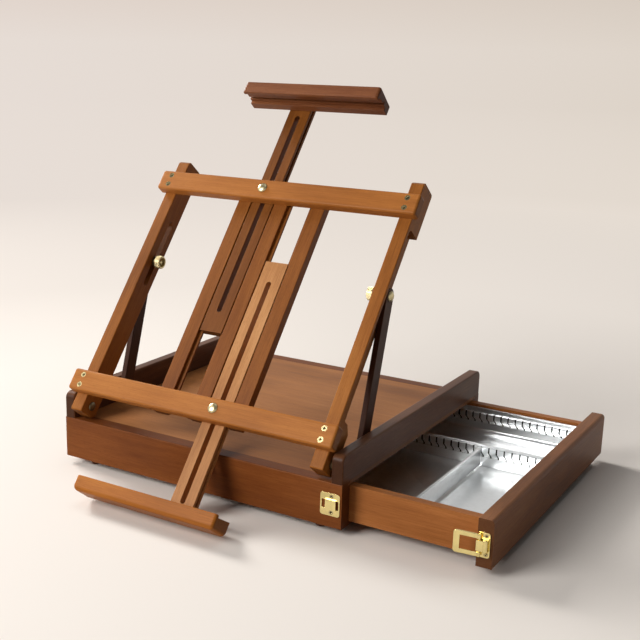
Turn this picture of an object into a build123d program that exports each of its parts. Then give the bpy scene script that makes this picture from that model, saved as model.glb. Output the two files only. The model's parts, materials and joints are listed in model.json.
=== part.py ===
from build123d import *
import os
from math import atan2, cos, degrees, radians, sin, sqrt

# Table box easel: a shallow wooden box on four feet with a drawer at its right end, and a
# hinged frame that leans back on two struts. Two grooved masts slide in the frame: the upper
# one carries the canvas clamp and the lower one the canvas ledge.
#
# All sizes are in millimetres. X runs to the right along the front of the box, Y to the back
# and Z up. The origin lies on the surface that the feet stand on, under the box's centre.

# Box
box_width = 420.0
box_depth = 418.0
panel_height = 55.5
front_panel_thickness = 19.0
end_panel_thickness = 15.0
table_thickness = 5.0
table_tongue = 5.0
table_tongue_thickness = 2.5
bottom_thickness = 4.0
bottom_rebate = 6.0
edge_round = 1.2

# Feet
foot_height = 9.0
foot_radius = 6.5
foot_round = 1.95
foot_inset_x = 36.0
foot_inset_y = 18.0

# Side rails that stand on the box
side_rail_thickness = 15.0
side_rail_end_radius = 9.0
side_rail_top_round = 2.0

# Hinged frame, drawn lying flat: Y is the distance u up the posts from the pivot axis and Z is
# the distance n from that axis towards the front of the frame
lean_angle = 51.5
pivot_setback = 9.5
post_foot_gap = 1.548
post_width = 18.0
post_gap = 4.6
post_foot = 13.5
post_length = 376.0
post_back = 15.0
post_front = 17.0
post_foot_back_radius = 8.0
post_foot_front_radius = 3.0
post_top_back_radius = 4.0
post_top_chamfer = 4.0
recess_depth = 10.3
recess_lip = 4.7
recess_start = 40.0
recess_end = 310.0
recess_run_out = 12.0
recess_corner = 6.0
slot_start = 187.5
slot_end = 280.5
slot_width = 8.8

# Struts
strut_setback = 86.0
strut_length = 181.0
strut_width = 19.5
strut_thickness = 7.1
strut_inset = 1.1

# Crossbars
crossbar_width = 29.2
crossbar_thickness = 13.6
crossbar_overhang = 7.6
bottom_bar_start = 10.0
top_bar_start = 321.4
crossbar_round = 3.2

# Guide rails and masts
guide_width = 20.0
guide_thickness = 12.6
guide_start = 11.0
guide_end_inset = 4.0
mast_width = 33.4
mast_side_gap = 1.5
mast_slot_width = 7.0
tongue_length = 3.0
tongue_thickness = 3.0
groove_bottom_gap = 0.5
upper_mast_start = 128.0
upper_mast_inset = 2.0
upper_slot_foot = 28.6
upper_slot_to_clamp = 8.0
lower_mast_length = 357.2
lower_slot_head = 28.5
lower_slot_to_ledge = 6.8
mast_floor_gap = 3.6

# Canvas clamp and ledge
holder_length = 208.0
holder_front = 55.6
holder_corner = 4.0
clamp_start = 471.0
clamp_height = 15.5
clamp_nose_height = 18.2
clamp_nose_round = 2.5
clamp_lip_width = 5.6
clamp_rabbet_width = 4.0
clamp_rabbet_rise = 3.5
clamp_jaw_rise = 5.0
clamp_groove_width = 3.5
clamp_groove_rise = 9.0
clamp_step_width = 5.0
clamp_step_rise = 4.5
clamp_heel_width = 11.5
clamp_heel_rise = 0.5
clamp_screw_rise = 7.5
holder_edge_round = 1.5
ledge_floor_gap = 3.657
ledge_height = 19.0
ledge_lip = 4.6
ledge_lip_height = 3.5
ledge_front_radius = 6.0
ledge_back_radius = 9.0
ledge_dowel_drop = 4.5

# Drawer
drawer_open = 164.6
drawer_front_thickness = 18.2
drawer_front_low = 2.3
drawer_front_rise = 3.2
drawer_front_round = 5.0
drawer_side_thickness = 12.0
drawer_side_gap = 0.6
drawer_top_gap = 1.0
drawer_end_gap = 7.0
drawer_bottom_thickness = 3.0
drawer_bottom_lift = 3.7
drawer_groove = 5.0

# Sheet metal tray and its dividers
sheet = 0.8
tray_gap = 0.3
tray_drop = 3.5
rim_width = 2.6
rim_height = 2.0
long_divider_setback = 131.0
long_divider_drop = 4.0
cross_divider_setback = 95.0
cross_divider_drop = 6.9
cross_hem_width = 4.4
cross_divider_lift = 2.8
tab_pitch = 10.5
tab_slot_width = 1.7
tab_slot_height = 13.5
tray_slot_drop = 8.0
divider_slot_drop = 3.0

# Fasteners
screw_radius = 1.9
screw_head_radius = 3.7
screw_head_depth = 2.2
screw_socket_width_share = 0.45
screw_socket_depth_share = 0.4
crossbar_screw_length = 28.0
crossbar_screw_spacing = 14.0
guide_screw_length = 20.0
clamp_screw_length = 26.0
holder_fixing_spacing = 18.0
dowel_radius = 3.0
dowel_length = 25.0
dowel_cover = 6.0
pivot_bolt_radius = 3.0
pivot_head_radius = 6.0
pivot_head_height = 2.4
pivot_depth_in_rail = 11.0
spacer_radius = 6.5
strut_screw_radius = 2.2
strut_screw_head_radius = 4.5
strut_screw_head_height = 1.6
strut_bolt_radius = 2.0
strut_bolt_head_radius = 6.5
strut_bolt_head_height = 3.8
clamp_bolt_radius = 3.0
clamp_bolt_head_radius = 6.8
clamp_bolt_head_height = 3.0
clamp_bolt_rise = 15.7
washer_radius = 7.5
washer_thickness = 1.0
nut_radius = 8.8
nut_collar_radius = 6.2
nut_collar_height = 3.0
nut_height = 11.0
nut_flutes = 28
nut_flute_radius = 0.55
clamp_bolt_proud = 1.0
strut_bolt_short = 2.0

# Latch on the end of the drawer front, and its hook on the front panel
latch_height = 29.2
latch_plate_width = 15.1
latch_plate_height = 29.2
latch_sheet = 1.2
latch_corner = 3.0
latch_screw_radius = 1.3
latch_screw_head_radius = 2.8
latch_screw_head_depth = 0.9
latch_screw_length = 9.0
latch_screw_inset = 4.3
bail_length = 28.5
bail_height = 26.0
bail_bar = 7.0
bail_arm = 5.1
bail_thickness = 1.8
bail_lip = 1.5
bail_pivot = 4.0
bail_eye_radius = 1.9
bail_pin_radius = 0.9
bail_rest_angle = 5.0
lever_width = 12.0
lever_tip_inset = 0.6
lever_pivot = 11.0
lever_hub_radius = 2.6
lever_thickness = 3.4
lever_tip_round = 1.02
lever_pin_radius = 1.2
ear_half_length = 2.4
hook_plate_lead = 7.2
hook_plate_height = 28.0
hook_plate_inset = 2.0
hook_stand_off = 3.2
hook_width = 13.0
hook_length = 14.0
hook_window = 5.3
hook_screw_lead = 7.3

# Clearances
moving_gap = 0.3
running_gap = 0.06
screw_gap = 0.05
hook_gap = 2.4
bail_gap = 0.4
fold_gap = 0.65
over_cut = 1.0

# Levels and faces of the box
table_level = foot_height + panel_height
front_face = -box_depth / 2
right_face = box_width / 2
panel_inside = box_depth / 2 - front_panel_thickness
rail_inside = box_width / 2 - side_rail_thickness
box_floor = foot_height + bottom_thickness
table_underside = table_level - table_thickness

# Pivots of the frame and of the struts. The back corner of a post's foot clears the table as it
# turns, and the crossbars lie just above the side rails when the frame is folded down
foot_corner = (post_foot - post_foot_back_radius, post_back - post_foot_back_radius)
foot_reach = sqrt(foot_corner[0]**2 + foot_corner[1]**2) + post_foot_back_radius
pivot_y = front_face + pivot_setback
pivot_z = table_level + foot_reach + post_foot_gap
rail_top = pivot_z + post_front - fold_gap
post_outside = rail_inside - post_gap
post_inside = post_outside - post_width
post_centre = (post_outside + post_inside) / 2
web_outside = post_outside - recess_depth
strut_outside = post_outside - strut_inset
strut_inside = strut_outside - strut_thickness
strut_y = pivot_y + strut_setback
pin_rise = strut_setback * sin(radians(lean_angle))
pin_distance = strut_setback * cos(radians(lean_angle)) + sqrt(strut_length**2 - pin_rise**2)
pin_y = pin_distance * cos(radians(lean_angle))
pin_z = pin_distance * sin(radians(lean_angle))
strut_angle = degrees(atan2(pin_z, pin_y - strut_setback))

# Masts and guides, from the middle of the frame
bar_back = post_front
bar_front = bar_back + crossbar_thickness
guide_back = bar_back - guide_thickness
mast_front = bar_back - moving_gap
mast_spacing = guide_width / 2 + mast_side_gap + mast_width / 2
guide_spacing = 2 * mast_spacing
upper_mast_x = -mast_spacing
lower_mast_x = mast_spacing
top_bolt_u = top_bar_start + clamp_bolt_rise
bottom_bolt_u = bottom_bar_start + clamp_bolt_rise
upper_mast_end = clamp_start + clamp_height - upper_mast_inset
upper_slot_start = upper_mast_start + upper_slot_foot
upper_slot_end = clamp_start - upper_slot_to_clamp

# The round back corner of the ledge is its lowest place, and stays just above the ground
ledge_corner_n = bar_back + ledge_back_radius
ledge_corner_z = ledge_floor_gap + ledge_back_radius - pivot_z
ledge_corner_u = (ledge_corner_z - ledge_corner_n * cos(radians(lean_angle))) / sin(radians(lean_angle))
ledge_start = ledge_corner_u - ledge_back_radius
lower_mast_end = ledge_start + lower_mast_length
lower_slot_start = ledge_start + ledge_height + lower_slot_to_ledge
lower_slot_end = lower_mast_end - lower_slot_head

# Drawer at its rest opening
drawer_face = right_face + moving_gap + drawer_open
drawer_outer_face = drawer_face + drawer_front_thickness
drawer_length = box_width - end_panel_thickness - drawer_end_gap
drawer_tail = drawer_face - drawer_length
drawer_side_y = panel_inside - drawer_side_gap
drawer_low = box_floor + moving_gap
drawer_high = table_underside - drawer_top_gap
drawer_inside_y = drawer_side_y - drawer_side_thickness
tray_floor = drawer_low + drawer_bottom_lift + drawer_bottom_thickness
tray_y = drawer_inside_y - tray_gap
tray_start = drawer_tail + drawer_side_thickness + tray_gap
tray_end = drawer_face - tray_gap
tray_top = drawer_high - tray_drop
long_divider_y = tray_y - long_divider_setback
cross_divider_x = drawer_face - cross_divider_setback

# The latch is centred on the hook. Lowered flat, the bail lies just outside the hook
latch_middle = foot_height + latch_height
bail_plane = front_face - hook_stand_off - bail_gap - bail_thickness / 2
bail_pivot_x = drawer_face + bail_pivot
lever_pivot_x = drawer_face + lever_pivot
hook_start = bail_pivot_x - drawer_open - bail_length + bail_lip + hook_gap


def block(x, y, z):
    """Rectangular piece between three pairs of limits."""
    centre = [(low + high) / 2 for low, high in (x, y, z)]
    return Pos(*centre) * Box(*[high - low for low, high in (x, y, z)])


def around(middle, width):
    """Pair of limits a width apart."""
    return middle - width / 2, middle + width / 2


def inset(limits, amount):
    """Pair of limits moved inwards."""
    return limits[0] + amount, limits[1] - amount


def rod_x(radius, x, y, z):
    """Round rod along X."""
    return Pos(sum(x) / 2, y, z) * Rot(0, 90, 0) * Cylinder(radius, x[1] - x[0])


def rod_z(radius, x, y, z):
    """Round rod along Z."""
    return Pos(x, y, sum(z) / 2) * Cylinder(radius, z[1] - z[0])


def long_edges(piece, axis):
    """Edges of a piece that run along an axis."""
    return piece.edges().filter_by(axis)


def edge_at(piece, place):
    """Edge of a piece along X that is nearest to a place."""
    return long_edges(piece, Axis.X).sort_by_distance(place)[0]


def dome(radius, height):
    """Low domed head that stands on Z = 0."""
    sphere_radius = (radius**2 + height**2) / (2 * height)
    ball = Pos(0, 0, height - sphere_radius) * Sphere(sphere_radius)
    return ball & rod_z(radius + over_cut, 0, 0, (0, height))


def countersunk(length, radius, head_radius, head_depth, gap=0.0):
    """Countersunk screw, or the hole for one, from Z = 0 down."""
    shank = rod_z(radius + gap, 0, 0, (-length - gap, 0))
    head = Pos(0, 0, -head_depth / 2) * Cone(radius + gap, head_radius + gap, head_depth)
    if gap:
        return shank + head
    socket_radius = head_radius * screw_socket_width_share
    socket = rod_z(socket_radius, 0, 0, (-head_depth * screw_socket_depth_share, over_cut))
    return shank + head - socket


def wood_screw(length, gap=0.0):
    """Screw of the size that holds the frame together, or its hole."""
    return countersunk(length, screw_radius, screw_head_radius, screw_head_depth, gap)


def on_frame(piece):
    """Carry a piece from the flat drawing of the frame to its leaning place."""
    return Location((0, pivot_y, pivot_z), (lean_angle, 0, 0)) * piece


def both_sides(piece):
    """A piece of the right side and its mirror image on the left."""
    return [piece, mirror(piece, about=Plane.YZ)]


def profile_along_x(points, x):
    """Closed outline of (Y, Z) points, extruded between two X limits."""
    face = make_face(Plane.YZ * Polyline(*points, close=True))
    return Pos(x[0], 0, 0) * extrude(face, amount=x[1] - x[0], dir=(1, 0, 0))


# Box
def make_cross_panel(side):
    """Front panel (side -1) or back panel (side 1), grooved for the table and the bottom."""
    outer = side * box_depth / 2
    inner = side * panel_inside
    y = sorted((outer, inner))
    panel = block((-right_face, right_face), y, (foot_height, table_level))
    groove_y = sorted((inner, inner + side * table_tongue))
    groove_z = (table_underside, table_underside + table_tongue_thickness)
    panel -= block((-right_face, right_face), groove_y, groove_z)
    rebate_y = sorted((inner, inner + side * bottom_rebate))
    panel -= block((-right_face, right_face), rebate_y, (foot_height, box_floor))
    outer_edges = long_edges(panel, Axis.X).filter_by_position(Axis.Y, outer - 0.01, outer + 0.01)
    return fillet(outer_edges, edge_round)


def make_end_panel():
    """Left end of the box, between the front and back panels."""
    x = (-right_face, -right_face + end_panel_thickness)
    panel = block(x, (-panel_inside, panel_inside), (foot_height, table_level))
    inner = x[1]
    groove_z = (table_underside, table_underside + table_tongue_thickness)
    panel -= block((inner - table_tongue, inner), (-panel_inside, panel_inside), groove_z)
    rebate = (inner - bottom_rebate, inner)
    panel -= block(rebate, (-panel_inside, panel_inside), (foot_height, box_floor))
    return panel


def make_table_top():
    """Table top, flush with the panels and tongued into them on three sides."""
    left = -right_face + end_panel_thickness
    top = block((left, right_face), (-panel_inside, panel_inside), (table_underside, table_level))
    tongue_y = panel_inside + table_tongue
    tongue_z = (table_underside, table_underside + table_tongue_thickness)
    side_tongues = block((left, right_face), (-tongue_y, tongue_y), tongue_z)
    end_tongue = block((left - table_tongue, left), (-panel_inside, panel_inside), tongue_z)
    return top + side_tongues + end_tongue


def make_bottom_panel():
    """Thin bottom, let into the rebates of the panels."""
    y = panel_inside + bottom_rebate
    left = -right_face + end_panel_thickness
    bottom = block((left, right_face), (-y, y), (foot_height, box_floor))
    end_rebate = (left - bottom_rebate, left)
    return bottom + block(end_rebate, (-panel_inside, panel_inside), (foot_height, box_floor))


def make_feet():
    """Four small turned feet."""
    foot = rod_z(foot_radius, 0, 0, (0, foot_height))
    foot = fillet(foot.edges().sort_by(Axis.Z)[0], foot_round)
    x = right_face - foot_inset_x
    y = box_depth / 2 - foot_inset_y
    return [Pos(sx * x, sy * y, 0) * foot for sx in (-1, 1) for sy in (-1, 1)]


def make_side_rail():
    """Right side rail, with its holes for the frame pivot and the strut pivot."""
    y = (front_face, -front_face)
    rail = block((rail_inside, right_face), y, (table_level, rail_top))
    ends = long_edges(rail, Axis.X).group_by(Axis.Z)[-1]
    rail = fillet(ends, side_rail_end_radius)
    rail = fillet(rail.faces().sort_by(Axis.Z)[-1].edges(), side_rail_top_round)
    depth = (rail_inside, rail_inside + pivot_depth_in_rail + screw_gap)
    rail -= rod_x(pivot_bolt_radius + screw_gap, depth, pivot_y, pivot_z)
    return rail - rod_x(strut_screw_radius + screw_gap, depth, strut_y, pivot_z)


# Pivots between the box and the frame
def make_frame_pivot():
    """Bolt through the foot of a post into the side rail."""
    head_face = post_inside - moving_gap
    shank = (head_face, rail_inside + pivot_depth_in_rail)
    bolt = rod_x(pivot_bolt_radius, shank, pivot_y, pivot_z)
    head_place = Location((head_face, pivot_y, pivot_z), (0, -90, 0))
    return bolt + head_place * dome(pivot_head_radius, pivot_head_height)


def make_spacer(x, bore):
    """Ring that keeps a post or a strut off the side rail."""
    return rod_x(spacer_radius, x, 0, 0) - rod_x(bore + screw_gap, x, 0, 0)


def make_frame_spacer():
    """Spacer between post and side rail."""
    ring = make_spacer((post_outside + moving_gap, rail_inside), pivot_bolt_radius)
    return Pos(0, pivot_y, pivot_z) * ring


def make_strut_spacer():
    """Spacer between strut and side rail."""
    ring = make_spacer((strut_outside + moving_gap, rail_inside), strut_screw_radius)
    return Pos(0, strut_y, pivot_z) * ring


def make_strut_pivot():
    """Screw through the foot of a strut into the side rail."""
    head_face = strut_inside - moving_gap
    shank = (head_face, rail_inside + pivot_depth_in_rail)
    screw = rod_x(strut_screw_radius, shank, strut_y, pivot_z)
    head_place = Location((head_face, strut_y, pivot_z), (0, -90, 0))
    return screw + head_place * dome(strut_screw_head_radius, strut_screw_head_height)


# Hinged frame
def make_post():
    """Right post: its outer back is routed away so that the strut folds into it."""
    points = [
        (-post_foot, -post_back),
        (post_length, -post_back),
        (post_length, post_front),
        (-post_foot, post_front),
    ]
    post = profile_along_x(points, (post_inside, post_outside))
    corners = long_edges(post, Axis.X)
    foot = corners.group_by(Axis.Y)[0].sort_by(Axis.Z)
    top = corners.group_by(Axis.Y)[-1].sort_by(Axis.Z)
    rounding = (
        (foot[0], post_foot_back_radius),
        (foot[-1], post_foot_front_radius),
        (top[0], post_top_back_radius),
    )
    for corner, radius in rounding:
        post = fillet(edge_at(post, corner.center()), radius)
    post = chamfer(edge_at(post, top[-1].center()), post_top_chamfer)
    post = fillet(long_edges(post, Axis.Y), edge_round)
    post -= make_recess()
    post -= make_post_slot()
    post -= rod_x(pivot_bolt_radius + running_gap, (post_inside, post_outside), 0, 0)
    for place in bar_screws:
        post -= place * wood_screw(crossbar_screw_length, screw_gap)
    return post


def make_recess():
    """Routed hollow in the outer back of a post, with a run-out at its lower end."""
    wall = post_front - recess_lip
    back = -post_back - over_cut
    run_out = recess_start + recess_run_out
    points = [
        (recess_start, back),
        (run_out, back + recess_run_out),
        (run_out, wall),
        (recess_end, wall),
        (recess_end, back),
    ]
    hollow = profile_along_x(points, (web_outside, post_outside + over_cut))
    for corner, radius in (((run_out, wall), recess_run_out), ((recess_end, wall), recess_corner)):
        hollow = fillet(edge_at(hollow, (web_outside, *corner)), radius)
    return hollow


def make_post_slot():
    """Slot through the web of a post, in which the strut bolt travels."""
    slot = SlotCenterToCenter(slot_end - slot_start, slot_width)
    middle = (slot_start + slot_end) / 2
    cut = extrude(Plane.YZ * Pos(middle, 0) * slot, amount=post_width, dir=(1, 0, 0))
    return Pos(post_inside, 0, 0) * cut


def crossbar_screw_places(start):
    """Places of the four screws that hold a crossbar to the posts."""
    middle = start + crossbar_width / 2
    half = crossbar_screw_spacing / 2
    spots = [(x, middle + side * half) for x in (-post_centre, post_centre) for side in (-1, 1)]
    return [Pos(x, u, bar_front) for x, u in spots]


def guide_screw_places(start):
    """Places of the three screws that hold the guide rails to a crossbar, from behind."""
    u = start + crossbar_width / 2
    return [Pos(x, u, guide_back) * Rot(180, 0, 0) for x in (-guide_spacing, 0, guide_spacing)]


def make_crossbar(start, bolt_x, bolt_u):
    """Bar across the front of both posts, bored for its screws and its clamp bolt."""
    half = post_outside + crossbar_overhang
    bar = block((-half, half), (start, start + crossbar_width), (bar_back, bar_front))
    front = bar.edges().group_by(Axis.Z)[-1].filter_by(Axis.X)
    bar = fillet(front, crossbar_round)
    bar = fillet(bar.edges().filter_by(Axis.Z), crossbar_round)
    for place in crossbar_screw_places(start):
        bar -= place * wood_screw(crossbar_screw_length, screw_gap)
    for place in guide_screw_places(start):
        bar -= place * wood_screw(guide_screw_length, screw_gap)
    return bar - rod_z(clamp_bolt_radius + screw_gap, bolt_x, bolt_u, (bar_back, bar_front))


bar_screws = crossbar_screw_places(bottom_bar_start) + crossbar_screw_places(top_bar_start)
guide_screws = guide_screw_places(bottom_bar_start) + guide_screw_places(top_bar_start)


def make_guide_rail(x, tongue_sides):
    """Guide rail behind the crossbars, with a tongue on each side that faces a mast."""
    end = top_bar_start + crossbar_width - guide_end_inset
    rail = block(around(x, guide_width), (guide_start, end), (guide_back, bar_back))
    rail = fillet(long_edges(rail, Axis.Y), edge_round / 2)
    middle = (guide_back + bar_back) / 2
    for side in tongue_sides:
        root = x + side * guide_width / 2
        tip = root + side * (mast_side_gap + tongue_length)
        rail += block(sorted((root, tip)), (guide_start, end), around(middle, tongue_thickness))
    for place in guide_screws:
        rail -= place * wood_screw(guide_screw_length, screw_gap)
    return rail


def make_clamp_bolt(x, u):
    """Carriage bolt through a crossbar and the slot of the mast behind it."""
    tail = guide_back - moving_gap - washer_thickness - moving_gap - nut_height - clamp_bolt_proud
    head = Pos(x, u, bar_front) * dome(clamp_bolt_head_radius, clamp_bolt_head_height)
    return rod_z(clamp_bolt_radius, x, u, (tail, bar_front)) + head


def make_clamp_washer(x, u):
    """Washer behind a mast."""
    z = (guide_back - moving_gap - washer_thickness, guide_back - moving_gap)
    ring = rod_z(washer_radius, x, u, z)
    return ring - rod_z(clamp_bolt_radius + screw_gap, x, u, z)


def make_nut(bore):
    """Knurled thumb nut that stands on Z = 0, with its collar at the top."""
    disc_height = nut_height - nut_collar_height
    flutes = PolarLocations(nut_radius, nut_flutes) * Circle(nut_flute_radius)
    disc = extrude(Circle(nut_radius) - flutes, amount=disc_height)
    collar = rod_z(nut_collar_radius, 0, 0, (disc_height, nut_height))
    return disc + collar - rod_z(bore + running_gap, 0, 0, (0, nut_height))


def make_clamp_nut(x, u):
    """Thumb nut behind a mast, collar towards the washer."""
    seat = guide_back - 2 * moving_gap - washer_thickness
    return Pos(x, u, seat - nut_height) * make_nut(clamp_bolt_radius)


# Masts
def make_mast(x, u, slot):
    """Grooved and slotted mast that slides between two guide rails."""
    mast = block(around(x, mast_width), u, (guide_back, mast_front))
    mast = fillet(long_edges(mast, Axis.Y), edge_round / 2)
    middle = (guide_back + bar_back) / 2
    depth = tongue_length + groove_bottom_gap
    groove = around(middle, tongue_thickness + 2 * moving_gap)
    for side in (-1, 1):
        edge = x + side * mast_width / 2
        mast -= block(sorted((edge, edge - side * depth)), u, groove)
    length = slot[1] - slot[0] - mast_slot_width
    opening = SlotCenterToCenter(length, mast_slot_width, rotation=90)
    cut = extrude(opening, amount=2 * guide_thickness)
    return mast - Pos(x, sum(slot) / 2, guide_back - guide_thickness / 2) * cut


def cut_level(piece, height):
    """Cut a leaning piece off level, a height above the feet."""
    low = pivot_z - 3 * box_depth
    reach = 2 * box_width
    return piece - block((-reach, reach), (-reach, reach), (low, height))


def clamp_screw(side, gap=0.0):
    """Screw through the upper mast into the clamp, or its hole."""
    x = upper_mast_x + side * holder_fixing_spacing / 2
    place = Pos(x, clamp_start + clamp_screw_rise, guide_back) * Rot(180, 0, 0)
    return place * wood_screw(clamp_screw_length, gap)


def ledge_dowel(side, gap=0.0):
    """Dowel between the lower mast and the ledge, or its hole."""
    x = lower_mast_x + side * holder_fixing_spacing / 2
    u = ledge_start + ledge_height - ledge_dowel_drop
    start = guide_back + dowel_cover
    return rod_z(dowel_radius + gap, x, u, (start - gap, start + dowel_length + gap))


def make_holder(points, rounding, holes):
    """Long moulded bar with its outline given as (u, n) points, bored for its fixings."""
    half = holder_length / 2
    bar = profile_along_x(points, (-half, half))
    front = bar.faces().sort_by(Axis.Z)[-1]
    bar = fillet(front.edges().filter_by(Axis.Y), holder_corner)
    for corner, radius in rounding:
        bar = fillet(edge_at(bar, (0, *corner)), radius)
    return bar - holes


def make_canvas_clamp():
    """Clamp bar: a nose at the front and a stepped, grooved underside."""
    low = clamp_start
    lip_back = holder_front - clamp_lip_width
    rabbet_back = lip_back - clamp_rabbet_width
    heel_front = bar_back + clamp_heel_width
    step_front = heel_front + clamp_step_width
    groove_front = step_front + clamp_groove_width
    points = [
        (low + clamp_height, bar_back),
        (low + clamp_nose_height, holder_front),
        (low, holder_front),
        (low, lip_back),
        (low + clamp_rabbet_rise, lip_back),
        (low + clamp_rabbet_rise, rabbet_back),
        (low + clamp_jaw_rise, rabbet_back),
        (low + clamp_jaw_rise, groove_front),
        (low + clamp_groove_rise, groove_front),
        (low + clamp_groove_rise, step_front),
        (low + clamp_step_rise, step_front),
        (low + clamp_step_rise, heel_front),
        (low + clamp_heel_rise, heel_front),
        (low + clamp_heel_rise, bar_back),
    ]
    rounding = [
        ((low + clamp_nose_height, holder_front), clamp_nose_round),
        ((low, holder_front), holder_edge_round),
    ]
    return make_holder(points, rounding, clamp_screw_holes)


def make_canvas_ledge():
    """Ledge bar: a tray for the canvas edge behind a low lip."""
    low = ledge_start
    top = ledge_start + ledge_height
    points = [
        (top, bar_back),
        (top - ledge_lip_height, holder_front - ledge_lip),
        (top, holder_front - ledge_lip),
        (top, holder_front),
        (low, holder_front),
        (low, bar_back),
    ]
    rounding = [
        ((low, holder_front), ledge_front_radius),
        ((low, bar_back), ledge_back_radius),
        ((top, holder_front), holder_edge_round),
    ]
    return make_holder(points, rounding, ledge_dowel_holes)


clamp_screw_holes = [clamp_screw(side, screw_gap) for side in (-1, 1)]
ledge_dowel_holes = [ledge_dowel(side, screw_gap) for side in (-1, 1)]


def make_upper_mast():
    """Mast that carries the clamp."""
    slot = (upper_slot_start, upper_slot_end)
    return make_mast(upper_mast_x, (upper_mast_start, upper_mast_end), slot) - clamp_screw_holes


def make_lower_mast():
    """Mast that carries the ledge."""
    slot = (lower_slot_start, lower_slot_end)
    return make_mast(lower_mast_x, (ledge_start, lower_mast_end), slot) - ledge_dowel_holes


# Struts
def on_strut(piece):
    """Carry a piece from the flat drawing of a strut to its leaning place."""
    return Location((0, strut_y, pivot_z), (strut_angle, 0, 0)) * piece


def make_strut():
    """Flat strut with round ends, its foot at the pivot and its bolt at the far end."""
    bar = SlotCenterToCenter(strut_length, strut_width)
    strut = extrude(Plane.YZ * Pos(strut_length / 2, 0) * bar, amount=strut_thickness, dir=(1, 0, 0))
    strut = fillet(strut.faces().sort_by(Axis.X)[-1].edges(), edge_round / 2)
    strut = Pos(strut_inside, 0, 0) * strut
    width = (strut_inside, strut_outside)
    strut -= rod_x(strut_screw_radius + running_gap, width, 0, 0)
    return strut - rod_x(strut_bolt_radius + screw_gap, width, strut_length, 0)


def make_strut_bolt():
    """Bolt through the strut and the slot of the post."""
    nut_end = post_inside - 2 * moving_gap - washer_thickness - nut_height
    shank = rod_x(strut_bolt_radius, (nut_end + strut_bolt_short, strut_outside), strut_length, 0)
    place = Location((strut_outside, strut_length, 0), (0, 90, 0))
    return shank + place * dome(strut_bolt_head_radius, strut_bolt_head_height)


def make_strut_washer():
    """Washer on the inner face of the post."""
    x = (post_inside - moving_gap - washer_thickness, post_inside - moving_gap)
    ring = rod_x(washer_radius, x, strut_length, 0)
    return ring - rod_x(strut_bolt_radius + screw_gap, x, strut_length, 0)


def make_thumb_nut():
    """Thumb nut on the strut bolt, collar towards the washer."""
    seat = post_inside - 2 * moving_gap - washer_thickness
    place = Location((seat - nut_height, strut_length, 0), (0, 90, 0))
    return place * make_nut(strut_bolt_radius)


# Drawer
def make_drawer_front():
    """Drawer front, which laps over the whole end of the box."""
    z = (foot_height + drawer_front_low, table_level + drawer_front_rise)
    front = block((drawer_face, drawer_outer_face), (front_face, -front_face), z)
    top = front.edges().filter_by(Axis.Y).sort_by_distance((drawer_outer_face, 0, z[1]))[0]
    front = fillet(top, drawer_front_round)
    inner_top = front.edges().filter_by(Axis.Y).sort_by_distance((drawer_face, 0, z[1]))[0]
    front = fillet(inner_top, edge_round)
    groove_y = drawer_inside_y + drawer_groove
    groove_z = around(tray_floor - drawer_bottom_thickness / 2, drawer_bottom_thickness)
    front -= block((drawer_face, drawer_face + drawer_groove), (-groove_y, groove_y), groove_z)
    return bore_latch_screws(front, base_screws)


def make_drawer_side(side):
    """Long side of the drawer, grooved for its bottom."""
    y = sorted((side * drawer_inside_y, side * drawer_side_y))
    board = block((drawer_tail, drawer_face), y, (drawer_low, drawer_high))
    inner = side * drawer_inside_y
    groove_y = sorted((inner, inner + side * drawer_groove))
    groove_z = around(tray_floor - drawer_bottom_thickness / 2, drawer_bottom_thickness)
    start = drawer_tail + drawer_side_thickness - drawer_groove
    return board - block((start, drawer_face), groove_y, groove_z)


def make_drawer_end():
    """Inner end of the drawer, between its sides."""
    x = (drawer_tail, drawer_tail + drawer_side_thickness)
    y = (-drawer_inside_y, drawer_inside_y)
    board = block(x, y, (drawer_low, drawer_high))
    groove_z = around(tray_floor - drawer_bottom_thickness / 2, drawer_bottom_thickness)
    return board - block((x[1] - drawer_groove, x[1]), y, groove_z)


def make_drawer_bottom():
    """Thin drawer bottom, held in the grooves."""
    x = (drawer_tail + drawer_side_thickness - drawer_groove, drawer_face + drawer_groove)
    y = drawer_inside_y + drawer_groove
    z = around(tray_floor - drawer_bottom_thickness / 2, drawer_bottom_thickness)
    return block(x, (-y, y), z)


def tab_slots(x, y, head):
    """Row of narrow upright slots through a sheet wall, with their heads at a height."""
    count = int((x[1] - x[0]) // tab_pitch)
    z = (head - tab_slot_height, head)
    slot = block(around(sum(x) / 2, tab_slot_width), around(y, 3 * sheet), z)
    steps = [(i - (count - 1) / 2) * tab_pitch for i in range(count)]
    return [Pos(step, 0, 0) * slot for step in steps]


def make_metal_tray():
    """Sheet metal tray with a hemmed rim and a row of slots in its far wall."""
    x = (tray_start, tray_end)
    y = (-tray_y, tray_y)
    shell = block(x, y, (tray_floor, tray_top))
    inside = block(inset(x, sheet), inset(y, sheet), (tray_floor + sheet, tray_top))
    rim = block(x, y, (tray_top - rim_height, tray_top))
    rim -= block(inset(x, rim_width), inset(y, rim_width), (tray_floor, tray_top))
    slots = tab_slots(inset(x, rim_width), tray_y - sheet / 2, tray_top - tray_slot_drop)
    return shell - inside + rim - slots


def make_long_divider():
    """Fixed divider along the tray, folded over at the top and slotted below the fold."""
    x = (tray_start + sheet, tray_end - sheet)
    z = (tray_floor + sheet, tray_top - long_divider_drop)
    wall = block(x, around(long_divider_y, sheet), z)
    fold = block(x, around(long_divider_y, rim_width), (z[1] - rim_height, z[1]))
    return wall + fold - tab_slots(inset(x, rim_width), long_divider_y, z[1] - divider_slot_drop)


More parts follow.
